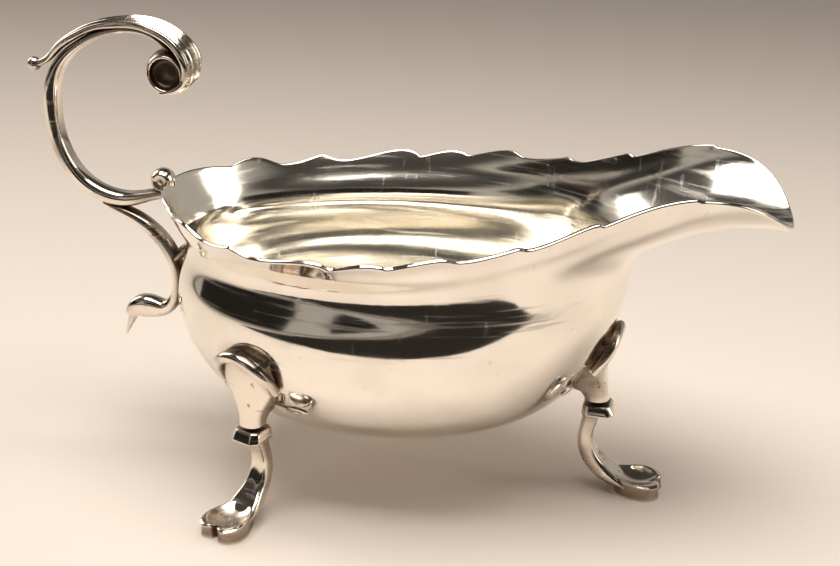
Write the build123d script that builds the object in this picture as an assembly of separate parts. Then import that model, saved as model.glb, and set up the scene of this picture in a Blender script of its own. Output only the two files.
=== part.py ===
from build123d import *
import math
import os

# Footed sauce boat in silver: a raised bowl with a scalloped rim and a long
# lip, a cast double scroll handle at the rear and three cast legs on hoof feet.
# Millimetres.  +X towards the spout, +Z up, the table at Z = 0.  The origin is
# on the table, halfway between the handle's bead and the tip of the spout.

# ---- driving sizes ----
bowl_length = 152.2      # rear of the rim to the tip of the spout
rim_width = 83.0         # across the flared rim
bowl_depth = 53.4        # underside of the bowl to the low point of the rim
foot_clearance = 16.1    # table to the underside of the bowl
wall = 1.15              # raised silver sheet
handle_size = 1.0        # whole handle, against the one drawn below
scroll_width = 5.0       # upper scroll, side to side
scroll_thickness = 4.3   # upper scroll, seen from the side
leaf_width = 9.6         # leaf at its widest, on the curl
knee_width = 15.6        # shield at the top of each leg
shank_width = 5.0
hoof_width = 11.5
hoof_height = 4.0
rear_leg_angle = 129.0   # rear legs, round from the spout
rear_leg_turn = 112.0    # the way they face, square to the bowl there
rear_leg_stand = 1.3     # how much farther out they stand than the front leg
petal_thickness = 1.5    # small leaves lying on the bowl
solder = 0.2             # film under each of those leaves

# ---- derived sizes ----
bowl_rear = -0.4107 * bowl_length
half_rim = rim_width / 2
bead_radius = 0.35 * scroll_width
volute_radius = 0.93 * scroll_thickness
ring_steps = 44          # steps of the sheet from the rear to the spout
level_steps = 18         # and from the underside to the rim

os.makedirs("parts", exist_ok=True)


def station(u, v, w):
    """Bowl point: u along the length, v of the half width, w of the depth."""
    return Vector(bowl_rear + u * bowl_length, v * half_rim, foot_clearance + w * bowl_depth)


# ---- bowl ----
# Half outlines run from the rear round one side to the front.
def half_outline(points):
    """Points at even steps along a smooth half outline that crosses the middle square on."""
    ring = points + [Vector(p.X, -p.Y, p.Z) for p in points[-2:0:-1]]
    curve = Edge.make_spline(ring, periodic=True)
    half = [curve.position_at(k / ring_steps / 2) for k in range(ring_steps + 1)]
    return [Vector(p.X, p.Y if 0 < k < ring_steps else 0, p.Z) for k, p in enumerate(half)]


def oval(rear, front, middle, breadth, level):
    """Half outline of the body at one level: two quarter ellipses end to end."""
    points = []
    for k in range(13):
        turn = math.pi * (1 - k / 12)
        reach = front - middle if k > 6 else middle - rear
        points.append(station(middle + reach * math.cos(turn), breadth * math.sin(turn) ** 0.95, level))
    return half_outline(points)


def between(low, high, part):
    return [a + (b - a) * part for a, b in zip(low, high)]


waist = [
    (0.036, 0, 0.850), (0.059, 0.289, 0.850), (0.138, 0.590, 0.850), (0.273, 0.807, 0.850),
    (0.411, 0.867, 0.850), (0.542, 0.802, 0.860), (0.641, 0.663, 0.873), (0.701, 0.482, 0.884),
    (0.744, 0.308, 0.884), (0.767, 0.157, 0.884), (0.773, 0, 0.884),
]
rim = [
    (0, 0, 1.056), (0.033, 0.337, 1.034), (0.122, 0.682, 1.004), (0.266, 0.940, 1.000),
    (0.424, 1.000, 1.015), (0.581, 0.867, 1.066), (0.713, 0.655, 1.150), (0.831, 0.516, 1.253),
    (0.936, 0.407, 1.230), (0.986, 0.217, 1.109), (1.0, 0, 1.037),
]
# The trough of the spout leaves the body here, so its levels are given apart.
throat = [(0.675, 0.634, 0.981), (0.749, 0.487, 1.019), (0.802, 0.342, 1.022), (0.830, 0.176, 1.000), (0.838, 0, 0.993)]
lip = [(0.697, 0.655, 1.075), (0.798, 0.506, 1.150), (0.890, 0.381, 1.161), (0.913, 0.193, 1.079), (0.923, 0, 1.049)]

waist_points = [station(*p) for p in waist]
rim_points = [station(*p) for p in rim]
throat_points = between(waist_points, rim_points, 0.45)[:6] + [station(*p) for p in throat]
lip_points = between(throat_points, rim_points, 0.55)[:6] + [station(*p) for p in lip]

# Edge of the rim seen from the side, from one turning point to the next:
# along the bowl, height, and whether the edge comes to a point there.
scallops = [
    (0.0, 1.056, False), (0.0585, 1.019, True), (0.082, 1.038, False), (0.141, 0.985, False),
    (0.189, 1.013, True), (0.240, 0.981, False), (0.319, 1.022, False), (0.368, 0.993, True),
    (0.411, 1.030, False), (0.453, 1.015, True), (0.509, 1.062, False), (0.558, 1.047, False),
    (0.627, 1.094, True), (0.654, 1.084, False), (0.733, 1.174, False), (0.754, 1.163, True),
    (0.871, 1.272, False),
]


def rim_level(u, plain):
    """Height of the rim's edge at u along the bowl; plain beyond the last scallop."""
    for (u0, w0, sharp0), (u1, w1, sharp1) in zip(scallops, scallops[1:]):
        if u0 <= u < u1:
            t = (u - u0) / (u1 - u0)
            if sharp0 and not sharp1:
                t = math.sin(t * math.pi / 2)
            elif sharp1 and not sharp0:
                t = 1 - math.cos(t * math.pi / 2)
            else:
                t = (1 - math.cos(t * math.pi)) / 2
            return foot_clearance + bowl_depth * (w0 + (w1 - w0) * t)
    return plain


lip_half = half_outline(lip_points)
rim_half = []
for inner_point, edge_point in zip(lip_half, half_outline(rim_points)):
    run = (edge_point - inner_point).normalized()
    level = rim_level((edge_point.X - bowl_rear) / bowl_length, edge_point.Z)
    rim_half.append(edge_point + run * ((level - edge_point.Z) / max(run.Z, 0.35)))

half_outlines = [
    oval(0.286, 0.444, 0.365, 0.229, 0.0),
    oval(0.184, 0.568, 0.365, 0.494, 0.045),
    oval(0.092, 0.660, 0.371, 0.747, 0.185),
    oval(0.027, 0.731, 0.378, 0.904, 0.476),
    oval(0.031, 0.752, 0.384, 0.882, 0.682),
    half_outline(waist_points),
    half_outline(throat_points),
    lip_half,
    rim_half,
]


columns = [Edge.make_spline([half[k] for half in half_outlines]) for k in range(ring_steps + 1)]
levels = [[column.position_at(j / level_steps) for column in columns] for j in range(level_steps + 1)]


def sheet_point(j, k):
    """Point of the outer surface at level j and step k, mirrored past either end."""
    level = levels[min(max(j, 0), level_steps)]
    if 0 <= k <= ring_steps:
        return level[k]
    p = level[-k if k < 0 else 2 * ring_steps - k]
    return Vector(p.X, -p.Y, p.Z)


sheet_places = [(j, k) for j in range(1, level_steps) for k in range(-ring_steps, ring_steps + 1)]


def sheet_edges(inset):
    """One edge per level along the half bowl, moved inwards from the outer surface."""
    edges = []
    for j in range(level_steps + 1):
        moved = []
        for k in range(ring_steps + 1):
            along = sheet_point(j, k + 1) - sheet_point(j, k - 1)
            rise = sheet_point(j + 1, k) - sheet_point(j - 1, k)
            inward = along.cross(rise).normalized() if j else Vector(0, 0, 1)
            p = levels[j][k] + inward * inset
            moved.append(Vector(p.X, p.Y if 0 < k < ring_steps else 0, p.Z))
        edges.append(Edge.make_spline(moved))
    return edges


def sheet_faces(edges):
    return [Face.make_surface_from_curves(low, high) for low, high in zip(edges, edges[1:])]


def bowl_solid():
    outer = sheet_edges(0)
    inner = sheet_edges(wall)
    half = sheet_faces(outer) + sheet_faces(inner)
    half.append(Face.make_surface_from_curves(outer[-1], inner[-1]))
    discs = [Face(Wire([edges[0], edges[0].mirror(Plane.XZ)])) for edges in (outer, inner)]
    return Solid(Shell(half + [face.mirror(Plane.XZ) for face in half] + discs))


bowl = bowl_solid()


bowl_middle = station(0.4, 0, 0.5)


def largest(shape):
    return max(shape.solids(), key=lambda piece: piece.volume)


def outside(casting):
    """What is left of a casting on the outer side of the bowl."""
    pieces = (casting - bowl).solids()
    worth = 0.15 * max(piece.volume for piece in pieces)
    kept = [piece for piece in pieces if piece.volume > worth]
    return max(kept, key=lambda piece: (piece.center() - bowl_middle).length)


# ---- cast bars ----
def bar(points):
    """Casting of oval section along points of (x, z, thickness, width) on the middle plane."""
    path = Edge.make_spline([Vector(x, 0, z) for x, z, _, _ in points])
    sections = []
    for x, z, thickness, width in points:
        run = path.tangent_at(path.param_at_point(Vector(x, 0, z)))
        plane = Plane(origin=(x, 0, z), x_dir=(0, 1, 0), z_dir=run)
        sections.append(plane * Ellipse(width / 2, thickness / 2))
    return loft(sections)


def across(x, z, radius, width):
    """Short round bar lying across the middle plane."""
    return Pos(x, 0, z) * Rot(90, 0, 0) * Cylinder(radius, width)


# ---- handle ----
# Drawn from the rear of the rim, then sized and carried there.
rim_rear = station(0, 0, 1.056)


def placed(x, z):
    """Handle drawing point, moved with the rear of the rim."""
    return rim_rear.X + (x + 62.5) * handle_size, rim_rear.Z + (z - 74.0) * handle_size


def handle_bar(points, thickness=1.0, width=1.0):
    rows = []
    for x, z, t, w in points:
        px, pz = placed(x, z)
        rows.append((px, pz, t * thickness, w * width))
    return bar(rows)


# Each line: along, up, thickness and width; the upper scroll and the leaf in
# parts of their own sizes, the rest in millimetres.
upper_line = [
    (-58.5, 72.0, 0.62, 0.9), (-66.2, 70.2, 0.66, 0.96), (-73.0, 68.8, 0.9, 1.0), (-78.8, 69.4, 1.0, 1.0),
    (-84.6, 72.6, 0.97, 1.0), (-88.2, 77.0, 0.95, 1.0), (-90.5, 82.5, 0.97, 1.0), (-91.4, 89.0, 1.0, 1.0),
    (-91.1, 95.5, 1.0, 1.0), (-89.4, 100.6, 0.85, 0.96), (-86.3, 104.8, 0.68, 0.94), (-82.4, 107.8, 0.56, 0.92),
    (-78.4, 110.0, 0.52, 0.92), (-73.2, 111.3, 0.52, 0.92), (-68.2, 111.8, 0.52, 0.94), (-64.2, 110.6, 0.56, 1.0),
    (-61.2, 107.6, 0.6, 1.1),
]
leaf_line = [
    (-94.4, 102.3, 1.9, 0.22), (-91.6, 103.6, 1.9, 0.25), (-88.0, 106.9, 2.3, 0.36), (-83.4, 109.9, 2.5, 0.46),
    (-77.5, 112.5, 2.7, 0.54), (-71.6, 113.5, 3.0, 0.62), (-66.2, 113.6, 3.2, 0.74), (-60.8, 112.2, 3.4, 0.88),
    (-56.4, 109.2, 3.6, 1.0), (-53.9, 105.0, 3.6, 1.0), (-54.6, 100.8, 3.2, 0.94), (-57.6, 98.3, 2.4, 0.9),
    (-60.8, 97.4, 1.4, 0.86),
]
lower_line = [
    (-79.6, 67.6, 1.8, 3.8), (-75.6, 65.8, 2.6, 4.2), (-71.4, 63.8, 3.2, 4.4), (-67.0, 60.6, 3.6, 4.5),
    (-63.7, 56.6, 3.6, 4.5), (-61.8, 52.0, 3.4, 4.4), (-61.4, 47.4, 2.9, 4.2), (-62.5, 43.0, 3.2, 4.2),
    (-65.6, 39.8, 4.2, 4.6), (-69.6, 39.2, 5.4, 5.0), (-73.2, 38.4, 4.8, 4.6), (-75.5, 37.0, 3.0, 3.6),
]
spur_line = [(-74.6, 37.6, 2.8, 2.6), (-75.4, 35.4, 2.0, 1.9), (-76.4, 33.2, 1.2, 1.2), (-77.2, 31.2, 0.5, 0.5)]
sprig_line = [(-61.6, 53.6, 2.6, 4.0), (-59.4, 55.8, 2.6, 3.6), (-57.6, 57.6, 2.2, 2.8), (-56.2, 59.4, 0.8, 1.0)]

volute_x, volute_z = placed(-59.2, 102.2)
volute_width = 0.84 * leaf_width
volute = across(volute_x, volute_z, volute_radius, volute_width)
for end in (-0.5, 0.5):
    volute -= Pos(0, end * volute_width, 0) * across(volute_x, volute_z, 0.74 * volute_radius, 0.5 * volute_width)

upper_scroll = outside(handle_bar(upper_line, scroll_thickness, scroll_width) - volute)
leaf = largest(handle_bar(leaf_line, 1.0, leaf_width) - upper_scroll - volute)
bead_x, bead_z = placed(-95.3, 102.3)
bead = largest(Pos(bead_x, 0, bead_z) * Sphere(bead_radius) - leaf)
lower_scroll = outside(handle_bar(lower_line) - upper_scroll)
spur = largest(handle_bar(spur_line) - lower_scroll)
sprig = outside(handle_bar(sprig_line) - lower_scroll)
curl_x, curl_z = placed(-63.4, 74.2)
rim_curl = outside(across(curl_x, curl_z, 0.52 * scroll_thickness, 0.94 * scroll_width) - upper_scroll)


# ---- legs ----
# Drawn standing out along +X from the widest part of the bowl.
body_centre = station(0.378, 0, 0)
body_front = 0.353 * bowl_length
body_back = 0.351 * bowl_length
body_side = 0.904 * half_rim


def height(z):
    """Height on a leg, stretched with the clearance below the bowl and its depth above."""
    if z < 17.6:
        return z * foot_clearance / 17.6
    return foot_clearance + (z - 17.6) * bowl_depth / 53.4


def half_width_line(points, width):
    """Closed outline from its right-hand side, (half width, height) pairs."""
    right = [Vector(0, y * width, height(z)) for y, z in points]
    left = [Vector(0, -p.Y, p.Z) for p in right]
    edges = [Edge.make_spline(right), Edge.make_spline(left), Edge.make_line(left[0], right[0])]
    return Face(Wire(edges))


def chamfered(back, front, half_width, z):
    """Eight-sided flat, the collar's plan at height z."""
    cut = 0.35 * half_width
    corners = [
        (back, cut - half_width), (back + cut, -half_width), (front - cut, -half_width), (front, cut - half_width),
        (front, half_width - cut), (front - cut, half_width), (back + cut, half_width), (back, half_width - cut),
    ]
    return Face(Wire.make_polygon([Vector(x, y, z) for x, y in corners]))


knee_outline = [(0.2, 25.0), (0.2, 27.3), (0.27, 30.4), (0.41, 34.0), (0.5, 38.2), (0.45, 42.0), (0.28, 44.8), (0, 45.9)]
knee_front = [(0.7, 25.0), (0.3, 29.0), (-0.1, 33.0), (0.0, 36.2), (1.0, 40.1), (2.6, 44.1), (3.2, 46.2)]
knee_back = [(-6.0, 46.2), (-13.0, 30.0), (-7.0, 28.3), (-5.6, 26.6), (-5.4, 25.0)]
shank_line = [
    (-2.9, 22.4, 5.1, 1.1), (-4.2, 18.6, 4.5, 1.0), (-4.8, 15.2, 4.5, 1.0), (-4.4, 12.0, 4.8, 1.04),
    (-3.0, 8.9, 5.0, 1.16), (-0.6, 6.3, 5.0, 1.4), (2.4, 4.7, 4.6, 1.7), (5.4, 3.9, 4.0, 1.9),
]
hoof_outline = [(2.2, 0.24), (6.0, 0.42), (10.0, 0.5), (12.9, 0.4), (13.8, 0.22), (13.3, 0.1)]


def knee_casting():
    shield = extrude(half_width_line(knee_outline, knee_width), 24, dir=(1, 0, 0), both=True)
    front = Edge.make_spline([Vector(x, 0, height(z)) for x, z in knee_front])
    corners = [Vector(x, 0, height(z)) for x, z in [knee_front[-1]] + knee_back + [knee_front[0]]]
    side = Face(Wire([front] + [Edge.make_line(a, b) for a, b in zip(corners, corners[1:])]))
    plate = shield & extrude(side, knee_width, dir=(0, 1, 0), both=True)
    arch = [(-2.4, -0.49, 36.3), (0.5, -0.45, 40.6), (1.9, -0.28, 43.5), (2.3, 0, 44.7)]
    arch += [(x, -y, z) for x, y, z in arch[-2::-1]]
    path = Edge.make_spline([Vector(x, y * knee_width, height(z)) for x, y, z in arch])
    start = Plane(origin=path.position_at(0), z_dir=path.tangent_at(0))
    return plate + sweep(start * Circle(0.09 * knee_width), path=Wire([path]))


def petal_pair(place):
    """A small hollowed leaf on the bowl at each side of the knee."""
    pair = []
    for side in (-1, 1):
        wanted = (place * Pos(-7.0, side * (0.38 * knee_width + 4.6), height(31.0))).position
        j, k = min(sheet_places, key=lambda at: (sheet_point(*at) - wanted).length)
        along = sheet_point(j, k + 1) - sheet_point(j, k - 1)
        rise = sheet_point(j + 1, k) - sheet_point(j - 1, k)
        plane = Plane(origin=sheet_point(j, k), x_dir=along, z_dir=rise.cross(along))
        body = extrude(plane.offset(solder) * Ellipse(3.1, 1.9), petal_thickness)
        hollow = extrude(plane.offset(petal_thickness - 0.7) * Ellipse(2.2, 1.1), 2)
        pair.append(body - hollow)
    return pair


def hoof_casting():
    right = [Vector(x, y * hoof_width, 0) for x, y in hoof_outline]
    left = [Vector(p.X, -p.Y, 0) for p in right]
    cleft = Vector(hoof_outline[-1][0] - 2.4, 0, 0)
    edges = [Edge.make_spline(right), Edge.make_spline(left), Edge.make_line(left[0], right[0])]
    edges += [Edge.make_line(right[-1], cleft), Edge.make_line(cleft, left[-1])]
    pad = extrude(Face(Wire(edges)), hoof_height + 1.2, dir=(0, 0, 1))
    top = [(0, 6.2), (4.0, 5.6), (9.0, 4.8), (14.5, 4.2)]
    ridge = [Vector(x, 0, z * hoof_height / 4.6) for x, z in top]
    frame = [ridge[-1], Vector(14.5, 0, 0), Vector(0, 0, 0), ridge[0]]
    side = Face(Wire([Edge.make_spline(ridge)] + [Edge.make_line(a, b) for a, b in zip(frame, frame[1:])]))
    pad &= extrude(side, hoof_width, dir=(0, 1, 0), both=True)
    hollow = 0.78 * hoof_width
    return pad - Pos(8.6, 0, 0.68 * hoof_height + hollow) * Sphere(hollow)


def leg(name, angle, facing):
    """The castings of one leg, seated on the bowl at this angle from the spout and facing this way."""
    turn = math.radians(angle)
    reach = body_front if math.cos(turn) > 0 else body_back
    out = 1 / math.hypot(math.cos(turn) / reach, math.sin(turn) / body_side)
    out += 0 if facing == angle else rear_leg_stand
    place = Pos(body_centre.X + out * math.cos(turn), out * math.sin(turn), 0) * Rot(0, 0, facing)
    knee = outside(place * knee_casting())
    petals = petal_pair(place)
    collar = loft([chamfered(-6.0, 2.3, 4.3, height(22.4)), chamfered(-5.7, 1.0, 3.5, height(25.0))], ruled=True)
    hoof = hoof_casting()
    shank = bar([(x, height(z), t, w * shank_width) for x, z, t, w in shank_line])
    shank = largest(shank - hoof - Pos(0, 0, height(22.4) + 10) * Box(40, 40, 20))
    return {
        name + "_knee": knee,
        name + "_petals": petals[0] + petals[1],
        name + "_collar": place * collar,
        name + "_shank": place * shank,
        name + "_hoof": place * hoof,
    }


# ---- assembly ----
nodes = {
    "bowl": bowl,
    "handle_upper_scroll": upper_scroll,
    "handle_leaf": leaf,
    "handle_bead": bead,
    "handle_volute": volute,
    "handle_rim_curl": rim_curl,
    "handle_lower_scroll": lower_scroll,
    "handle_spur": spur,
    "handle_sprig": sprig,
}
nodes.update(leg("front_leg", 0, 0))
left_leg = leg("rear_left_leg", rear_leg_angle, rear_leg_turn)
nodes.update(left_leg)
nodes.update({name.replace("left", "right"): mirror(shape, Plane.XZ) for name, shape in left_leg.items()})

middle = (bead_x - bead_radius + bowl_rear + bowl_length) / 2
for name, shape in nodes.items():
    export_step(Pos(-middle, 0, 0) * shape, "parts/" + name + ".step")
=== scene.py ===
import bpy
import math
import numpy as np
from mathutils import Matrix, Vector
from mathutils.bvhtree import BVHTree


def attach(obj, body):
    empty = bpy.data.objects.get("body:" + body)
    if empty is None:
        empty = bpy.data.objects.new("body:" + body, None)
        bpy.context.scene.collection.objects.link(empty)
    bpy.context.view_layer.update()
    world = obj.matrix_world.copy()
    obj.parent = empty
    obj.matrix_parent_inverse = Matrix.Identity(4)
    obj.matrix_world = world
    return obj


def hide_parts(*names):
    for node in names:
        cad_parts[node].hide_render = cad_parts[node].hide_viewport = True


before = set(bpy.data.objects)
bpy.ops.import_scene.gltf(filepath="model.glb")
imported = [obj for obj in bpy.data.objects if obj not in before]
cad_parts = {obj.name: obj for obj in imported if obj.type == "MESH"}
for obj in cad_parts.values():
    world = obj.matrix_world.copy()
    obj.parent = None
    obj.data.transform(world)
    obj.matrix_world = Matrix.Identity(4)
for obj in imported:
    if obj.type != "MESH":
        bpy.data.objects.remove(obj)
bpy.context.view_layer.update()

mm = 0.001
middleShift = 3.6835  # the shared frame is centred between bead and spout


def clearSelection():
    bpy.ops.object.select_all(action="DESELECT")


# ---- smooth lines through rows of numbers ----
def lineThrough(rows, dims=3, closed=False):  # dims: how many of the columns are places
    p = np.array(rows, float)
    if closed:
        p = np.vstack([p, p[:1]])
    gap = np.linalg.norm(np.diff(p[:, :dims], axis=0), axis=1)
    t = np.concatenate([[0.0], np.cumsum(gap)])
    n = len(p)
    a = np.zeros((n, n))
    r = np.zeros(p.shape)
    for i in range(1, n - 1):
        a[i, i - 1], a[i, i], a[i, i + 1] = gap[i - 1], 2 * (gap[i - 1] + gap[i]), gap[i]
        r[i] = 6 * ((p[i + 1] - p[i]) / gap[i] - (p[i] - p[i - 1]) / gap[i - 1])
    a[0, 0] = a[-1, -1] = 1
    if closed:
        a[0, 0], a[0, 1], a[0, -2] = 2 * (gap[-1] + gap[0]), gap[0], gap[-1]
        r[0] = 6 * ((p[1] - p[0]) / gap[0] - (p[0] - p[-2]) / gap[-1])
        a[-1, 0] = -1
    bend = np.linalg.solve(a, r)

    def at(s):
        x = s * t[-1]
        i = min(max(int(np.searchsorted(t, x)) - 1, 0), n - 2)
        d, before, after = gap[i], t[i + 1] - x, x - t[i]
        curved = (bend[i] * before ** 3 + bend[i + 1] * after ** 3) / (6 * d)
        return curved + (p[i] / d - bend[i] * d / 6) * before + (p[i + 1] / d - bend[i + 1] * d / 6) * after

    return at


def formGrid(name, stepsRound, stepsAlong, place):  # a grid carried to its shape, then welded
    clearSelection()
    bpy.ops.mesh.primitive_grid_add(x_subdivisions=stepsRound, y_subdivisions=stepsAlong, size=1)
    piece = bpy.context.object
    piece.name = piece.data.name = name
    for vertex in piece.data.vertices:
        vertex.co = place(round((vertex.co.x + 0.5) * stepsRound), round((vertex.co.y + 0.5) * stepsAlong))
    weld(piece)
    return piece


def weld(piece, gap=0.000002):
    bpy.context.view_layer.objects.active = piece
    piece.select_set(True)
    bpy.ops.object.mode_set(mode="EDIT")
    bpy.ops.mesh.select_all(action="SELECT")
    bpy.ops.mesh.remove_doubles(threshold=gap)
    bpy.ops.mesh.normals_make_consistent(inside=False)
    bpy.ops.object.mode_set(mode="OBJECT")
    bpy.ops.object.shade_smooth_by_angle(angle=math.radians(50))
    piece.select_set(False)


def addModifier(piece, kind, **values):
    clearSelection()
    piece.select_set(True)
    bpy.context.view_layer.objects.active = piece
    modifier = piece.modifiers.new(kind.title(), kind)
    for key, value in values.items():
        setattr(modifier, key, value)
    bpy.ops.object.modifier_apply(modifier=modifier.name)


def finishPiece(piece, material, slot, *nodes):
    for polygon in piece.data.polygons:
        polygon.use_smooth = True
    clearSelection()
    piece.select_set(True)
    bpy.context.view_layer.objects.active = piece
    bpy.ops.object.shade_smooth_by_angle(angle=math.radians(42))
    piece.data.materials.clear()
    piece.data.materials.append(material)
    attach(piece, "root")
    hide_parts(*nodes)


# ---- silver ----
def linkedNode(tree, kind, **values):
    node = tree.nodes.new(kind)
    for key, value in values.items():
        setattr(node, key, value)
    return node


def buildWearGroup():
    group = bpy.data.node_groups.new("silverWear", "ShaderNodeTree")
    face = group.interface
    for name, kind in (("Clean", "Color"), ("Tarnish And Shade", "Color"), ("Tarnish And Shade Amount", "Float"), ("Polish", "Float"),
                       ("Scratch Scale", "Float"), ("Dent Scale", "Float"), ("Recess", "Float")):
        face.new_socket(name=name, in_out="INPUT", socket_type="NodeSocket" + kind)
    for name, kind in (("Color", "Color"), ("Roughness", "Float"), ("Height", "Float")):
        face.new_socket(name=name, in_out="OUTPUT", socket_type="NodeSocket" + kind)
    link = group.links.new
    start = linkedNode(group, "NodeGroupInput")
    end = linkedNode(group, "NodeGroupOutput")
    place = linkedNode(group, "ShaderNodeTexCoord")

    def math2(operation, a, b, clamp=False):
        node = linkedNode(group, "ShaderNodeMath", operation=operation, use_clamp=clamp)
        for socket, value in zip(node.inputs, (a, b)):
            if isinstance(value, (int, float)):
                socket.default_value = value
            else:
                link(value, socket)
        return node.outputs[0]

    def ramp(value, low, high):
        node = linkedNode(group, "ShaderNodeMapRange", interpolation_type="SMOOTHSTEP")
        link(value, node.inputs["Value"])
        node.inputs["From Min"].default_value = low
        node.inputs["From Max"].default_value = high
        return node.outputs["Result"]

    def noise(scale, stretch, detail=2.0, turn=0.0):
        spread = linkedNode(group, "ShaderNodeMapping")
        link(place.outputs["Object"], spread.inputs["Vector"])
        spread.inputs["Scale"].default_value = stretch
        spread.inputs["Rotation"].default_value = (0, 0, turn)
        node = linkedNode(group, "ShaderNodeTexNoise")
        link(spread.outputs["Vector"], node.inputs["Vector"])
        if isinstance(scale, (int, float)):
            node.inputs["Scale"].default_value = scale
        else:
            link(scale, node.inputs["Scale"])
        node.inputs["Detail"].default_value = detail
        return node.outputs["Fac"]

    polishing = noise(start.outputs["Scratch Scale"], (0.05, 0.05, 1.0), 3.0)
    crossing = noise(start.outputs["Scratch Scale"], (0.8, 0.05, 0.12), 2.0, 0.6)
    hairline = ramp(polishing, 0.53, 0.68)
    stray = ramp(crossing, 0.66, 0.70)
    dents = noise(start.outputs["Dent Scale"], (1.0, 1.0, 1.0), 1.0)
    haze = noise(70.0, (1.0, 1.0, 1.0), 4.0)
    spots = ramp(noise(420.0, (1.0, 1.0, 1.0), 2.0), 0.69, 0.76)

    # Ambient occlusion darkens the colour in recesses: partly tarnish in the hollows, partly painted shade
    # between parts and near the floor
    shade = linkedNode(group, "ShaderNodeAmbientOcclusion", samples=6)
    link(start.outputs["Recess"], shade.inputs["Distance"])
    recess = ramp(shade.outputs["AO"], 0.96, 0.42)
    recessTarnishAndShade = math2("MULTIPLY", recess, math2("ADD", ramp(haze, 0.30, 0.65), 0.45), True)
    patches = math2("MULTIPLY", ramp(haze, 0.42, 0.70), 0.24)
    mask = math2("MULTIPLY", math2("MAXIMUM", recessTarnishAndShade, math2("ADD", patches, math2("MULTIPLY", spots, 0.25))),
                 start.outputs["Tarnish And Shade Amount"], True)
    edges = linkedNode(group, "ShaderNodeNewGeometry")
    rubbed = ramp(edges.outputs["Pointiness"], 0.51, 0.60)
    mask = math2("MULTIPLY", mask, math2("SUBTRACT", 1.0, rubbed), True)

    # mixes towards the tarnish colour, which also serves as painted shade wherever the occlusion mask reaches
    tint = linkedNode(group, "ShaderNodeMix", data_type="RGBA")
    link(mask, tint.inputs[0])
    link(start.outputs["Clean"], tint.inputs[6])
    link(start.outputs["Tarnish And Shade"], tint.inputs[7])
    link(tint.outputs[2], end.inputs["Color"])

    rough = math2("ADD", start.outputs["Polish"], math2("MULTIPLY", hairline, 0.14))
    rough = math2("ADD", rough, math2("MULTIPLY", stray, 0.08))
    rough = math2("ADD", rough, math2("MULTIPLY", haze, 0.05))
    rough = math2("ADD", rough, math2("MULTIPLY", mask, 0.28))
    rough = math2("SUBTRACT", rough, math2("MULTIPLY", rubbed, 0.03), True)
    link(rough, end.inputs["Roughness"])

    height = math2("ADD", dents, math2("MULTIPLY", haze, 0.30))
    height = math2("SUBTRACT", height, math2("MULTIPLY", hairline, 0.012))
    height = math2("SUBTRACT", height, math2("MULTIPLY", stray, 0.016))
    link(height, end.inputs["Height"])
    return group


wearGroup = buildWearGroup()


def silverMaterial(name, clean, tarnishAndShade, tarnishAndShadeAmount, polish, scratchScale, dentScale, recess, dent):
    material = bpy.data.materials.new(name)
    material.use_nodes = True
    tree = material.node_tree
    shader = tree.nodes["Principled BSDF"]
    shader.inputs["Metallic"].default_value = 1.0
    shader.inputs["Specular IOR Level"].default_value = 0.5
    wear = linkedNode(tree, "ShaderNodeGroup", node_tree=wearGroup)
    wear.inputs["Clean"].default_value = (*clean, 1)
    # the tarnish colour and amount also set the painted shade in recesses, between parts and near the floor
    wear.inputs["Tarnish And Shade"].default_value = (*tarnishAndShade, 1)
    wear.inputs["Tarnish And Shade Amount"].default_value = tarnishAndShadeAmount
    wear.inputs["Polish"].default_value = polish
    wear.inputs["Scratch Scale"].default_value = scratchScale
    wear.inputs["Dent Scale"].default_value = dentScale
    wear.inputs["Recess"].default_value = recess
    bump = linkedNode(tree, "ShaderNodeBump")
    bump.inputs["Strength"].default_value = 1.0
    bump.inputs["Distance"].default_value = dent
    tree.links.new(wear.outputs["Color"], shader.inputs["Base Color"])
    tree.links.new(wear.outputs["Roughness"], shader.inputs["Roughness"])
    tree.links.new(wear.outputs["Height"], bump.inputs["Height"])
    tree.links.new(bump.outputs["Normal"], shader.inputs["Normal"])
    return material


# dark brown for the volute's sunk face: painted shade in the hollow
paintedHollowShade = silverMaterial("paintedHollowShade", (0.16, 0.12, 0.09), (0.06, 0.04, 0.03),
                              1.0, 0.30, 1100, 200, 0.004, 0.0001)
bodySilver = silverMaterial("bodySilver", (0.93, 0.89, 0.82), (0.36, 0.27, 0.17),
                            0.50, 0.035, 900, 45, 0.004, 0.00010)
insideSilver = silverMaterial("insideSilver", (0.94, 0.90, 0.82), (0.46, 0.38, 0.26),
                              0.45, 0.10, 800, 40, 0.004, 0.00012)
# castings take the strongest tarnish, and with it the strongest painted shade near the floor and at joints
castSilver = silverMaterial("castSilver", (0.90, 0.835, 0.74), (0.17, 0.11, 0.07),
                            2.4, 0.07, 1100, 160, 0.0065, 0.00007)
print("silver ready")


# ---- bowl ----
bowlSettings = dict(length=152.2, rimWidth=83.0, depth=53.4, clearance=16.1, wall=1.15, rear=0.4107,
                    halfSteps=150, wallSteps=66, capSteps=6)


def station(u, v, w):
    s = bowlSettings
    return ((u - s["rear"]) * s["length"] + middleShift, v * s["rimWidth"] / 2, s["clearance"] + w * s["depth"])


def halfOutline(points):  # even steps from the rear to the front of a mirrored outline
    ring = points + [(x, -y, z) for x, y, z in points[-2:0:-1]]
    line = lineThrough(ring, closed=True)
    steps = bowlSettings["halfSteps"]
    half = [line(k / steps / 2) for k in range(steps + 1)]
    half[0][1] = half[-1][1] = 0
    return np.array(half)


def ovalLevel(rear, front, middle, breadth, level):
    points = []
    for k in range(13):
        turn = math.pi * (1 - k / 12)
        reach = front - middle if k > 6 else middle - rear
        points.append(station(middle + reach * math.cos(turn), breadth * max(math.sin(turn), 0) ** 0.95, level))
    return halfOutline(points)


def between(low, high, part):
    return [tuple(a + (b - a) * part for a, b in zip(p, q)) for p, q in zip(low, high)]


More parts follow.
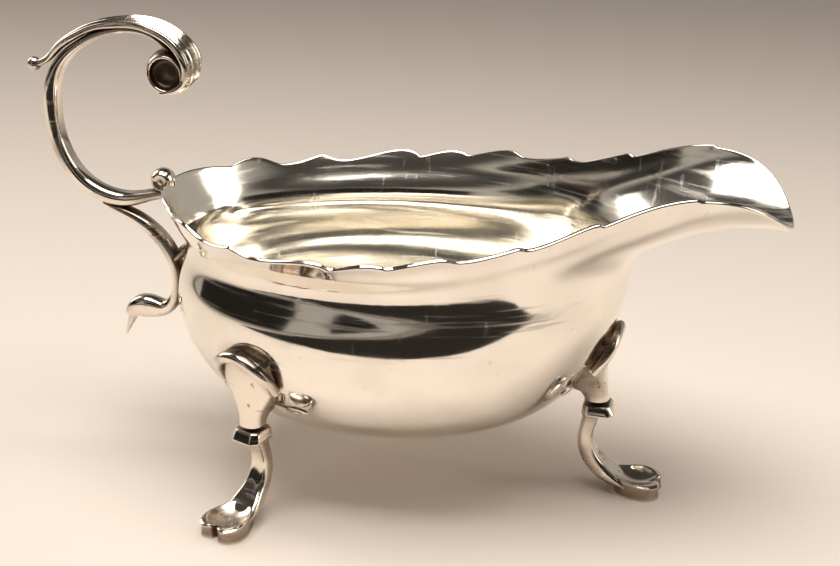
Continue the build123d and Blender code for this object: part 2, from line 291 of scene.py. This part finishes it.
waist = [station(*p) for p in (
    (0.036, 0, 0.850), (0.059, 0.289, 0.850), (0.138, 0.590, 0.850), (0.273, 0.807, 0.850),
    (0.411, 0.867, 0.850), (0.542, 0.802, 0.860), (0.641, 0.663, 0.873), (0.701, 0.482, 0.884),
    (0.744, 0.308, 0.884), (0.767, 0.157, 0.884), (0.773, 0, 0.884))]
rim = [station(*p) for p in (
    (0, 0, 1.056), (0.033, 0.337, 1.034), (0.122, 0.682, 1.004), (0.266, 0.940, 1.000),
    (0.424, 1.000, 1.015), (0.581, 0.867, 1.066), (0.713, 0.655, 1.150), (0.831, 0.516, 1.253),
    (0.936, 0.407, 1.230), (0.986, 0.217, 1.109), (1.0, 0, 1.037))]
throat = between(waist, rim, 0.45)[:6] + [station(*p) for p in (
    (0.675, 0.634, 0.981), (0.749, 0.487, 1.019), (0.802, 0.342, 1.022), (0.830, 0.176, 1.000),
    (0.838, 0, 0.993))]
lip = between(throat, rim, 0.55)[:6] + [station(*p) for p in (
    (0.697, 0.655, 1.075), (0.798, 0.506, 1.150), (0.890, 0.381, 1.161), (0.913, 0.193, 1.079),
    (0.923, 0, 1.049))]

# turning points of the rim's edge: along, height, pointed or not
scallops = [
    (0.0, 1.056, False), (0.0585, 1.019, True), (0.082, 1.038, False), (0.141, 0.985, False),
    (0.189, 1.013, True), (0.240, 0.981, False), (0.319, 1.022, False), (0.368, 0.993, True),
    (0.411, 1.030, False), (0.453, 1.015, True), (0.509, 1.062, False), (0.558, 1.047, False),
    (0.627, 1.094, True), (0.654, 1.084, False), (0.733, 1.174, False), (0.754, 1.163, True),
    (0.871, 1.272, False)]


def rimLevel(u, plain):
    for (u0, w0, sharp0), (u1, w1, sharp1) in zip(scallops, scallops[1:]):
        if u0 <= u < u1:
            t = (u - u0) / (u1 - u0)
            if sharp0 and not sharp1:
                t = math.sin(t * math.pi / 2)
            elif sharp1 and not sharp0:
                t = 1 - math.cos(t * math.pi / 2)
            else:
                t = (1 - math.cos(t * math.pi)) / 2
            return station(0, 0, w0 + (w1 - w0) * t)[2]
    return plain


def bowlLevels():
    s = bowlSettings
    lipHalf = halfOutline(lip)
    rimHalf = []
    for inner, edge in zip(lipHalf, halfOutline(rim)):
        run = (edge - inner) / np.linalg.norm(edge - inner)
        u = (edge[0] - middleShift) / s["length"] + s["rear"]
        rimHalf.append(edge + run * ((rimLevel(u, edge[2]) - edge[2]) / max(run[2], 0.35)))
    halves = [ovalLevel(0.286, 0.444, 0.365, 0.229, 0.0), ovalLevel(0.184, 0.568, 0.365, 0.494, 0.045),
              ovalLevel(0.092, 0.660, 0.371, 0.747, 0.185), ovalLevel(0.027, 0.731, 0.378, 0.904, 0.476),
              ovalLevel(0.029, 0.755, 0.384, 0.899, 0.682), halfOutline(waist), halfOutline(throat), lipHalf,
              np.array(rimHalf)]
    columns = []
    for k in range(s["halfSteps"] + 1):
        up = lineThrough([half[k] for half in halves])
        middle = np.array(station(0.365, 0, 0))
        foot = up(0)
        column = [middle + (foot - middle) * (j / s["capSteps"]) for j in range(s["capSteps"])]
        column += [up(j / s["wallSteps"]) for j in range(s["wallSteps"] + 1)]
        columns.append(column)
    return columns


bowlColumns = bowlLevels()


def bowlPlace(k, j):
    half = bowlSettings["halfSteps"]
    x, y, z = bowlColumns[k if k <= half else 2 * half - k][j]
    return Vector((x, y if k <= half else -y, z)) * mm


bowlRows = bowlSettings["capSteps"] + bowlSettings["wallSteps"]
bowl = formGrid("bowlBody", 2 * bowlSettings["halfSteps"], bowlRows, bowlPlace)
outerTree = BVHTree.FromObject(bowl, bpy.context.evaluated_depsgraph_get())
# an open sheet can come out either way round, so its underside decides
lowest = min(bowl.data.polygons, key=lambda f: f.center.z)
if lowest.normal.z > 0:
    bowl.data.flip_normals()
bowl.data.materials.append(bodySilver)
bowl.data.materials.append(insideSilver)
addModifier(bowl, "SOLIDIFY", thickness=bowlSettings["wall"] * mm, offset=-1, material_offset=1)
addModifier(bowl, "BEVEL", width=0.0004, segments=3, limit_method="ANGLE", angle_limit=math.radians(60))
clearSelection()
bowl.select_set(True)
bpy.ops.object.shade_smooth_by_angle(angle=math.radians(60))
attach(bowl, "root")
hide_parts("bowl")
print("bowl ready")


# ---- swept castings on the middle plane ----
def handlePoint(x, z):
    left, _, top = station(0, 0, 1.056)
    return left + x + 62.5, top + z - 74.0


def sweepBar(name, rows, section, thickness=1.0, width=1.0, around=40, along=110, cap=5, onHandle=True):
    placed = []
    for x, z, t, w in rows:
        px, pz = handlePoint(x, z) if onHandle else (x, z)
        placed.append((px, pz, t * thickness, w * width))
    line = lineThrough(placed, dims=2)

    def place(k, j):
        inner = min(max((j - cap) / (along - 2 * cap), 0), 1)
        grow = math.sin(min(j, along - j, cap) / cap * math.pi / 2)
        x, z, t, w = line(inner)
        dx, dz = (line(min(inner + 0.002, 1)) - line(max(inner - 0.002, 0)))[:2]
        size = math.hypot(dx, dz)
        across, out = section(2 * math.pi * k / around, inner)
        lift = out * t / 2 * grow
        return Vector((x - dz / size * lift, across * w / 2 * grow, z + dx / size * lift)) * mm

    return formGrid(name, around, along, place)


def ovalSection(turn, s):
    return math.cos(turn), math.sin(turn)


def power(value, exponent):
    return math.copysign(abs(value) ** exponent, value)


def scrollSection(turn, s):  # flat inside, crowned outside with a low ridge
    across = power(math.cos(turn), 0.8)
    out = math.sin(turn)
    return across, 0.9 * power(out, 0.7) if out < 0 else out ** 0.9


def leafSection(turn, s):  # ribs along the leaf, deeper as it widens, and a lobed edge
    across = power(math.cos(turn), 0.85)
    out = math.sin(turn)
    ribs = 0.5 * min(s * 2.5, 1)
    lobe = 1 + 0.045 * math.cos(2 * math.pi * 5 * s) * min(s * 2, 1) * min((1 - s) * 4, 1)
    if out > 0:
        crown = out ** 0.6
        return across * lobe, crown * (1 - ribs + ribs * math.cos(across * math.pi * 2) ** 2)
    return across * lobe, 0.75 * power(out, 0.6)


upperLine = [
    (-61.9, 71.2, 0.62, 0.92), (-66.6, 70.2, 0.66, 0.96), (-73.0, 68.8, 0.9, 1.0), (-78.8, 69.4, 1.0, 1.0),
    (-84.6, 72.6, 0.97, 1.0), (-88.2, 77.0, 0.95, 1.0), (-90.5, 82.5, 0.97, 1.0), (-91.4, 89.0, 1.0, 1.0),
    (-91.1, 95.5, 1.0, 1.0), (-89.4, 100.6, 0.85, 0.96), (-86.3, 104.8, 0.68, 0.94), (-82.4, 107.8, 0.56, 0.92),
    (-78.4, 110.0, 0.52, 0.92), (-73.2, 111.7, 0.50, 0.92), (-68.2, 112.2, 0.45, 0.90),
    (-64.0, 111.5, 0.42, 0.90), (-60.4, 109.3, 0.38, 0.88), (-57.8, 106.4, 0.30, 0.85)]
leafLine = [
    (-94.4, 102.3, 1.9, 0.22), (-91.6, 103.6, 1.9, 0.25), (-88.0, 106.9, 2.3, 0.36), (-83.4, 109.9, 2.5, 0.46),
    (-77.5, 112.5, 2.7, 0.54), (-71.6, 113.5, 3.0, 0.62), (-66.2, 113.6, 3.2, 0.74), (-60.8, 112.2, 3.4, 0.88),
    (-56.4, 109.2, 3.6, 1.0), (-53.9, 105.0, 3.6, 1.0), (-54.6, 100.8, 3.2, 0.94), (-57.6, 98.3, 2.4, 0.9),
    (-60.8, 97.4, 1.4, 0.86)]
lowerLine = [
    (-79.6, 67.6, 1.8, 3.8), (-75.6, 65.8, 2.6, 4.2), (-71.4, 63.8, 3.2, 4.4), (-67.0, 60.6, 3.6, 4.5),
    (-63.7, 56.6, 3.6, 4.5), (-61.8, 52.0, 3.4, 4.4), (-61.4, 47.4, 2.9, 4.2), (-62.5, 43.0, 3.2, 4.2),
    (-65.6, 39.8, 4.2, 4.6), (-69.6, 39.8, 6.2, 5.0), (-73.0, 39.3, 5.8, 4.8), (-75.4, 37.4, 3.4, 3.8)]
spurLine = [(-74.6, 37.6, 2.8, 2.6), (-75.4, 35.4, 2.0, 1.9), (-76.4, 33.2, 1.2, 1.2), (-77.2, 31.2, 0.5, 0.5)]
sprigLine = [(-61.6, 53.6, 2.6, 4.0), (-59.4, 55.8, 2.6, 3.6), (-57.6, 57.6, 2.2, 2.8), (-56.2, 59.4, 0.8, 1.0)]
handleSettings = dict(scrollWidth=5.0, scrollThickness=4.3, leafWidth=9.6,
                      volute=(-59.3, 102.2), voluteRadius=4.7,
                      bead=(-95.3, 102.3), beadRadius=1.75, curl=(-63.4, 74.2), curlRadius=2.4, curlWidth=4.9)


upper = sweepBar("handleUpperScroll", upperLine, scrollSection,
                 handleSettings["scrollThickness"], handleSettings["scrollWidth"], along=150)
finishPiece(upper, castSilver, "cast_silver", "handle_upper_scroll")
leaf = sweepBar("handleLeaf", leafLine, leafSection, 1.0, handleSettings["leafWidth"], around=72, along=160)
finishPiece(leaf, castSilver, "cast_silver", "handle_leaf")
lower = sweepBar("handleLowerScroll", lowerLine, scrollSection, along=120)
finishPiece(lower, castSilver, "cast_silver", "handle_lower_scroll")
spur = sweepBar("handleSpur", spurLine, ovalSection, around=28, along=40)
finishPiece(spur, castSilver, "cast_silver", "handle_spur")
sprig = sweepBar("handleSprig", sprigLine, ovalSection, around=28, along=40)
finishPiece(sprig, castSilver, "cast_silver", "handle_sprig")


def discAcross(name, x, z, radius, width, lipShare, sink):  # disc with a rolled rim and sunk faces
    half, inner = width / 2, 1 - lipShare
    end = [(0.0, half - sink + 0.15), (0.25 * inner, half - sink), (0.75 * inner, half - sink),
           (0.93 * inner, half - 0.45 * sink), (inner, half - 0.1), (0.5 + inner / 2, half), (1.0, half - 0.35)]
    profile = lineThrough([(r * radius, -y) for r, y in end] + [(r * radius, y) for r, y in end[::-1]], dims=2)

    def place(k, j):
        r, y = profile(j / 96)
        turn = 2 * math.pi * k / 64
        r = 0 if j in (0, 96) else max(r, 0)
        return Vector((x + r * math.cos(turn), y, z + r * math.sin(turn))) * mm

    return formGrid(name, 64, 96, place)


voluteX, voluteZ = handlePoint(*handleSettings["volute"])
volute = discAcross("handleVolute", voluteX, voluteZ, handleSettings["voluteRadius"],
                    0.84 * handleSettings["leafWidth"], 0.14, 2.2)
finishPiece(volute, castSilver, "cast_silver", "handle_volute")
# the sunk face inside 72% of the radius gets the dark material, painted shade in the hollow
volute.data.materials.append(paintedHollowShade)
for polygon in volute.data.polygons:
    off = math.hypot(polygon.center.x - voluteX * mm, polygon.center.z - voluteZ * mm)
    polygon.material_index = int(off < 0.72 * handleSettings["voluteRadius"] * mm)
curlX, curlZ = handlePoint(*handleSettings["curl"])
curl = discAcross("handleRimCurl", curlX, curlZ, handleSettings["curlRadius"],
                  handleSettings["curlWidth"], 0.42, 0.25)
finishPiece(curl, castSilver, "cast_silver", "handle_rim_curl")

beadX, beadZ = handlePoint(*handleSettings["bead"])
clearSelection()
bpy.ops.mesh.primitive_uv_sphere_add(segments=40, ring_count=24, radius=handleSettings["beadRadius"] * mm)
bead = bpy.context.object
bead.name = bead.data.name = "handleBead"
for vertex in bead.data.vertices:  # sunk face at the back, as a nail head
    off = math.hypot(vertex.co.y, vertex.co.z) / (handleSettings["beadRadius"] * mm)
    if vertex.co.x < 0 and off < 0.62:
        vertex.co.x *= 0.55 + 0.25 * (off / 0.62) ** 2
    vertex.co += Vector((beadX, 0, beadZ)) * mm
finishPiece(bead, castSilver, "cast_silver", "handle_bead")
print("handle ready")


# ---- legs ----
legSettings = dict(kneeWidth=15.6, shankWidth=5.0, hoofWidth=11.5, hoofHeight=4.0,
                   rearAngle=129.0, rearTurn=112.0,
                   rearStand=1.3, petalLength=3.1, petalBreadth=1.5, petalRise=1.5)
kneeOutline = [(25.0, 0.2), (27.3, 0.2), (30.4, 0.27), (34.0, 0.41), (38.2, 0.5), (42.0, 0.45), (44.8, 0.28),
               (45.9, 0.02)]
kneeFront = [(25.0, 0.7), (29.0, 0.3), (33.0, -0.1), (36.2, 0.0), (40.1, 1.0), (44.1, 2.6), (46.2, 3.2)]
kneeBack = [(25.0, -5.4), (26.6, -5.6), (28.3, -7.0), (30.0, -13.0), (46.2, -13.0)]
archLine = [(-2.4, -0.49, 36.3), (0.5, -0.45, 40.6), (1.9, -0.28, 43.5), (2.3, 0, 44.7),
            (1.9, 0.28, 43.5), (0.5, 0.45, 40.6), (-2.4, 0.49, 36.3)]
shankLine = [
    (-2.9, 23.4, 5.1, 1.1), (-4.2, 18.6, 4.5, 1.0), (-4.8, 15.2, 4.5, 1.0), (-4.4, 12.0, 4.8, 1.04),
    (-3.0, 8.9, 5.0, 1.16), (-0.6, 6.3, 5.0, 1.4), (2.4, 4.2, 3.8, 1.7), (5.2, 2.6, 2.2, 1.7)]
hoofOutline = [(2.2, 0.24), (6.0, 0.42), (10.0, 0.5), (12.9, 0.4), (13.8, 0.22), (13.3, 0.1)]


def legHeight(z):
    return z * 16.1 / 17.6 if z < 17.6 else z - 1.5


def readRow(rows, z):
    for (z0, a), (z1, b) in zip(rows, rows[1:]):
        if z <= z1:
            return a + (b - a) * max(z - z0, 0) / (z1 - z0)
    return rows[-1][1]


def legMatrix(angle, facing):
    turn = math.radians(angle)
    reach = (0.353 if math.cos(turn) > 0 else 0.351) * bowlSettings["length"]
    side = 0.904 * bowlSettings["rimWidth"] / 2
    out = 1 / math.hypot(math.cos(turn) / reach, math.sin(turn) / side)
    out += 0 if facing == angle else legSettings["rearStand"]
    centre = station(0.378, 0, 0)[0]
    move = Vector((centre + out * math.cos(turn), out * math.sin(turn), 0)) * mm
    return Matrix.Translation(move) @ Matrix.Rotation(math.radians(facing), 4, "Z")


kneeSide = lineThrough(kneeOutline, dims=2)
kneeSideRows = [(kneeSide(k / 80)[0], kneeSide(k / 80)[1]) for k in range(81)]
kneeFace = lineThrough(kneeFront, dims=2)
kneeFaceRows = [(kneeFace(k / 60)[0], kneeFace(k / 60)[1]) for k in range(61)]


def makeKnee(name, matrix):
    around, along = 56, 84
    inverse = matrix.inverted()

    def place(k, j):
        z = 25.0 + 20.9 * (j / along) ** 0.9
        grow = math.sin(min(j, 3) / 3 * math.pi / 2) if j < 3 else 1
        half = readRow(kneeSideRows, z) * legSettings["kneeWidth"] * (grow if j < along else 0)
        front, back = readRow(kneeFaceRows, z), readRow(kneeBack, z)
        turn = 2 * math.pi * k / around
        y = power(math.sin(turn), 0.8) * half
        flare = power(math.cos(turn), 0.55 if z > 31 else 0.8)
        deep = min((front - back) / 2, 2.6)
        x = front - deep + (deep if flare > 0 else front - deep - back) * flare * grow
        x -= 0.35 * (abs(y) / (half + 0.001)) ** 2 if flare > 0 else 0
        spot = Vector((x, y, legHeight(z))) * mm
        if z > 28.5 and flare <= 0.2:  # the back lies just in the wall of the bowl
            world = matrix @ Vector((0.03, y * mm, spot.z))
            aim = (matrix.to_3x3() @ Vector((-1, 0, 0))).normalized()
            hit = outerTree.ray_cast(world, aim)[0]
            if hit is not None:
                wall = (inverse @ hit).x - 0.0005
                spot.x = max(spot.x, wall)
        return matrix @ spot

    plate = formGrid(name, around, along, place)
    arch = lineThrough([(x, y * legSettings["kneeWidth"], legHeight(z)) for x, y, z in archLine])
    radius = 0.09 * legSettings["kneeWidth"]

    def roll(k, j):
        s = min(max((j - 4) / 72, 0), 1)
        grow = math.sin(min(j, 80 - j, 4) / 4 * math.pi / 2)
        point = Vector(arch(s))
        run = Vector(arch(min(s + 0.01, 1)) - arch(max(s - 0.01, 0))).normalized()
        side = Vector((1, 0, 0)).cross(run).normalized()
        out = run.cross(side)
        turn = 2 * math.pi * k / 20
        return matrix @ ((point + (side * math.cos(turn) + out * math.sin(turn)) * radius * grow) * mm)

    edge = formGrid(name + "Roll", 20, 80, roll)
    clearSelection()
    edge.select_set(True)
    plate.select_set(True)
    bpy.context.view_layer.objects.active = plate
    bpy.ops.object.join()
    return plate


bowlMiddle = Vector((0, 0, 0.045))


def makePetals(name, matrix):
    parts = []
    for side in (-1, 1):
        beside = 0.38 * legSettings["kneeWidth"] + 4.6
        wanted = matrix @ (Vector((-7.0, side * beside, legHeight(31.0))) * mm)
        point, normal, _, _ = outerTree.find_nearest(wanted)
        if (point - bowlMiddle).dot(normal) < 0:
            normal = -normal
        along = Vector((0, 0, 1)).cross(normal).normalized()
        up = normal.cross(along)

        def place(k, j):
            turn = 2 * math.pi * k / 40
            r = min(j / 18, 1)
            dome = math.sqrt(max(1 - r * r, 0)) * (1 - 0.6 * math.exp(-(r / 0.4) ** 2))
            rise = -0.5 if j > 18 else 0.75 * dome
            pointed = 1 - 0.30 * abs(math.cos(turn)) ** 3
            x = legSettings["petalLength"] * r * math.cos(turn)
            y = legSettings["petalBreadth"] * r * math.sin(turn) * pointed
            return point + (along * x + up * y + normal * rise) * mm

        parts.append(formGrid(name if side < 0 else name + "B", 40, 19, place))
    clearSelection()
    for part in parts:
        part.select_set(True)
    bpy.context.view_layer.objects.active = parts[0]
    bpy.ops.object.join()
    return parts[0]


def makeCollar(name, matrix):
    clearSelection()
    bpy.ops.mesh.primitive_cylinder_add(vertices=8, radius=1, depth=1, end_fill_type="NGON")
    piece = bpy.context.object
    piece.name = piece.data.name = name
    for vertex in piece.data.vertices:
        top = vertex.co.z > 0
        back, front, half = (-5.7, 1.0, 3.5) if top else (-6.0, 2.3, 4.3)
        z = legHeight(25.0 if top else 22.4)
        turn = math.atan2(vertex.co.y, vertex.co.x)
        cut = 0.35 * half
        step = int(round(turn / (math.pi / 4))) % 8
        corners = ((front, half - cut), (front - cut, half), (back + cut, half), (back, half - cut),
                   (back, cut - half), (back + cut, -half), (front - cut, -half), (front, cut - half))
        corner = corners[step]
        vertex.co = matrix @ (Vector((corner[0], corner[1], z)) * mm)
    weld(piece)
    addModifier(piece, "BEVEL", width=0.45 * mm, segments=3, limit_method="ANGLE", angle_limit=math.radians(25))
    return piece


def shankSection(turn, s):  # hollow down the front between two edges
    across = power(math.cos(turn), 0.75)
    out = math.sin(turn)
    if out > 0:
        return across, out ** 0.7 * (0.62 + 0.38 * across * across)
    return across, power(out, 0.9)


def makeShank(name, matrix):
    rows = [(x, legHeight(z), t, w * legSettings["shankWidth"]) for x, z, t, w in shankLine]
    piece = sweepBar(name, rows, shankSection, around=44, along=90, onHandle=False)
    for vertex in piece.data.vertices:
        vertex.co = matrix @ vertex.co
    return piece


def makeHoof(name, matrix):
    width, height = legSettings["hoofWidth"], legSettings["hoofHeight"]
    side = lineThrough([(x, y * width) for x, y in hoofOutline], dims=2)
    cleft = (hoofOutline[-1][0] - 2.4, 0.0)
    half = [tuple(side(k / 26)) for k in range(27)]
    last = half[-1]
    for k in range(1, 6):
        half.append((last[0] + (cleft[0] - last[0]) * k / 5, last[1] + (cleft[1] - last[1]) * k / 5))
    back = [(half[0][0], half[0][1] * k / 4) for k in range(4)]
    half = back + half
    around = 2 * (len(half) - 1)
    ring = half + [(x, -y) for x, y in half[-2:0:-1]] + [half[0]]
    bowlRadius = 0.78 * width

    def top(x, y):
        ridge = (6.2 - 0.14 * x) * height / 4.6
        off = bowlRadius ** 2 - (x - 8.6) ** 2 - y * y
        dish = 0.68 * height + bowlRadius - math.sqrt(max(off, 0)) if off > 0 else 99
        return min(ridge, dish)

    def place(k, j):
        bx, by = ring[k]
        cx, cy = 7.6, 0.0
        r = min(j / 22, 1)
        x, y = cx + (bx - cx) * r, cy + (by - cy) * r
        z = top(x, y)
        if r > 0.9:
            z -= 0.28 * ((r - 0.9) / 0.1) ** 2
        if j > 22:
            z = z * (1 - (j - 22) / 6)
            inward = 0.04 * math.sin((j - 22) / 6 * math.pi)
            x, y = x + (cx - x) * inward, y + (cy - y) * inward
        if j > 28:
            x, y, z = cx, cy, 0
        return matrix @ (Vector((x, y, max(z, 0))) * mm)

    return formGrid(name, around, 29, place)


rearAngle, rearTurn = legSettings["rearAngle"], legSettings["rearTurn"]
legs = (("frontLeg", "front_leg", 0.0, 0.0), ("rearLeftLeg", "rear_left_leg", rearAngle, rearTurn),
        ("rearRightLeg", "rear_right_leg", -rearAngle, -rearTurn))
makers = (("Knee", makeKnee), ("Petals", makePetals), ("Collar", makeCollar), ("Shank", makeShank),
          ("Hoof", makeHoof))
for title, node, angle, facing in legs:
    matrix = legMatrix(angle, facing)
    for part, maker in makers:
        piece = maker(title + part, matrix)
        finishPiece(piece, castSilver, "cast_silver", node + "_" + part.lower())
print("legs ready")


# ---- table, light and camera ----
def plainMaterial(name, color, rough=0.9):
    material = bpy.data.materials.new(name)
    material.use_nodes = True
    shader = material.node_tree.nodes["Principled BSDF"]
    shader.inputs["Base Color"].default_value = (*color, 1)
    shader.inputs["Roughness"].default_value = rough
    shader.inputs["Specular IOR Level"].default_value = 0.1
    return material


def cardMaterial(name, color, strength):
    material = bpy.data.materials.new(name)
    material.use_nodes = True
    tree = material.node_tree
    tree.nodes.remove(tree.nodes["Principled BSDF"])
    glow = linkedNode(tree, "ShaderNodeEmission")
    glow.inputs["Color"].default_value = (*color, 1)
    glow.inputs["Strength"].default_value = strength
    tree.links.new(glow.outputs[0], tree.nodes["Material Output"].inputs["Surface"])
    return material


# the far floor colour is painted shade, where the light falls off towards the back of the table
studio = dict(
    floor=(0.90, 0.81, 0.735), paintedFarFloorShade=(0.36, 0.32, 0.285), world=(0.80, 0.73, 0.64), worldStrength=0.50,
    ceiling=(0.10, 0.09, 0.08),
    cameraPlace=(98.542, -348.687, 200.13), cameraForward=(-0.237577, 0.892880, -0.382522),
    cameraRight=(0.967945, 0.250642, -0.016125), focal=68.57, sensor=36.0)


def floorMaterial():
    material = plainMaterial("paleFloor", studio["floor"])
    tree = material.node_tree
    shader = tree.nodes["Principled BSDF"]
    place = linkedNode(tree, "ShaderNodeTexCoord")
    split = linkedNode(tree, "ShaderNodeSeparateXYZ")
    # the floor fades to a darker colour towards the back: painted shade where the lamps' light falls off
    fade = linkedNode(tree, "ShaderNodeMapRange", interpolation_type="SMOOTHSTEP")
    fade.inputs["From Min"].default_value = -0.05
    fade.inputs["From Max"].default_value = 0.62
    mix = linkedNode(tree, "ShaderNodeMix", data_type="RGBA")
    mix.inputs[6].default_value = (*studio["floor"], 1)
    mix.inputs[7].default_value = (*studio["paintedFarFloorShade"], 1)
    grain = linkedNode(tree, "ShaderNodeTexNoise")
    grain.inputs["Scale"].default_value = 900
    bump = linkedNode(tree, "ShaderNodeBump")
    bump.inputs["Distance"].default_value = 0.00003
    tree.links.new(place.outputs["Object"], split.inputs[0])
    tree.links.new(split.outputs["Y"], fade.inputs["Value"])
    tree.links.new(fade.outputs["Result"], mix.inputs[0])
    tree.links.new(mix.outputs[2], shader.inputs["Base Color"])
    tree.links.new(place.outputs["Object"], grain.inputs["Vector"])
    tree.links.new(grain.outputs["Fac"], bump.inputs["Height"])
    tree.links.new(bump.outputs["Normal"], shader.inputs["Normal"])
    return material


clearSelection()
bpy.ops.mesh.primitive_plane_add(size=6, location=(0, 0, 0))
floor = bpy.context.object
floor.name = "paleFloor"
floor.data.materials.append(floorMaterial())


def addCard(name, size, place, aim, color, strength):
    clearSelection()
    bpy.ops.mesh.primitive_plane_add(size=1)
    card = bpy.context.object
    card.name = name
    card.scale = (size[0], size[1], 1)
    card.location = place
    card.rotation_euler = (Vector(aim) - Vector(place)).to_track_quat("-Z", "Y").to_euler()
    card.data.materials.append(cardMaterial(name, color, strength))
    card.visible_camera = False
    card.visible_shadow = False
    return card


objectMiddle = (0.0, 0.0, 0.05)
addCard("darkCard", (2.6, 0.60), (0.45, -0.95, 0.41), objectMiddle, (0.10, 0.085, 0.07), 0.15)


def addSoftbox(name, size, place, power, color):
    clearSelection()
    bpy.ops.object.light_add(type="AREA", location=place)
    light = bpy.context.object
    light.name = name
    light.data.shape = "RECTANGLE"
    light.data.size, light.data.size_y = size
    light.data.energy = power
    light.data.color = color
    light.rotation_euler = (Vector(objectMiddle) - Vector(place)).to_track_quat("-Z", "Y").to_euler()
    return light


addCard("darkSide", (1.3, 0.62), (-1.15, -0.50, 0.34), objectMiddle, (0.10, 0.085, 0.07), 0.15)
ground = addCard("tableEdge", (0.95, 0.76), (0.07, -0.525, 0.0006), objectMiddle, (0.10, 0.085, 0.07), 0.25)
ground.rotation_euler = (0, 0, math.radians(14.9))
addSoftbox("topBox", (0.9, 0.6), (0.0, -0.10, 0.95), 9.6, (1.0, 0.945, 0.88))
addSoftbox("leftBox", (0.5, 0.8), (-1.0, 0.45, 0.60), 3.0, (1.0, 0.95, 0.88))
addSoftbox("rightBox", (0.5, 0.8), (1.15, 0.10, 0.50), 3.0, (1.0, 0.95, 0.88))

world = bpy.data.worlds.new("studioWorld")
bpy.context.scene.world = world
world.use_nodes = True
backing = world.node_tree.nodes["Background"]
backing.inputs["Strength"].default_value = studio["worldStrength"]
skyPlace = linkedNode(world.node_tree, "ShaderNodeTexCoord")
skySplit = linkedNode(world.node_tree, "ShaderNodeSeparateXYZ")
skyFade = linkedNode(world.node_tree, "ShaderNodeMapRange", interpolation_type="SMOOTHSTEP")
skyFade.inputs["From Min"].default_value = 0.42
skyFade.inputs["From Max"].default_value = 0.62
skyMix = linkedNode(world.node_tree, "ShaderNodeMix", data_type="RGBA")
skyMix.inputs[6].default_value = (*studio["world"], 1)
skyMix.inputs[7].default_value = (*studio["ceiling"], 1)
world.node_tree.links.new(skyPlace.outputs["Generated"], skySplit.inputs[0])
world.node_tree.links.new(skySplit.outputs["Z"], skyFade.inputs["Value"])
world.node_tree.links.new(skyFade.outputs["Result"], skyMix.inputs[0])
world.node_tree.links.new(skyMix.outputs[2], backing.inputs["Color"])

forward = Vector(studio["cameraForward"])
right = Vector(studio["cameraRight"])
up = right.cross(forward)
bpy.ops.object.camera_add(location=Vector(studio["cameraPlace"]) * mm)
camera = bpy.context.object
camera.rotation_euler = Matrix((right, up, -forward)).transposed().to_euler()
camera.data.lens = studio["focal"]
camera.data.sensor_width = studio["sensor"]
camera.data.clip_start = 0.01
bpy.context.scene.camera = camera
bpy.context.scene.view_settings.view_transform = "Standard"
print("studio ready")
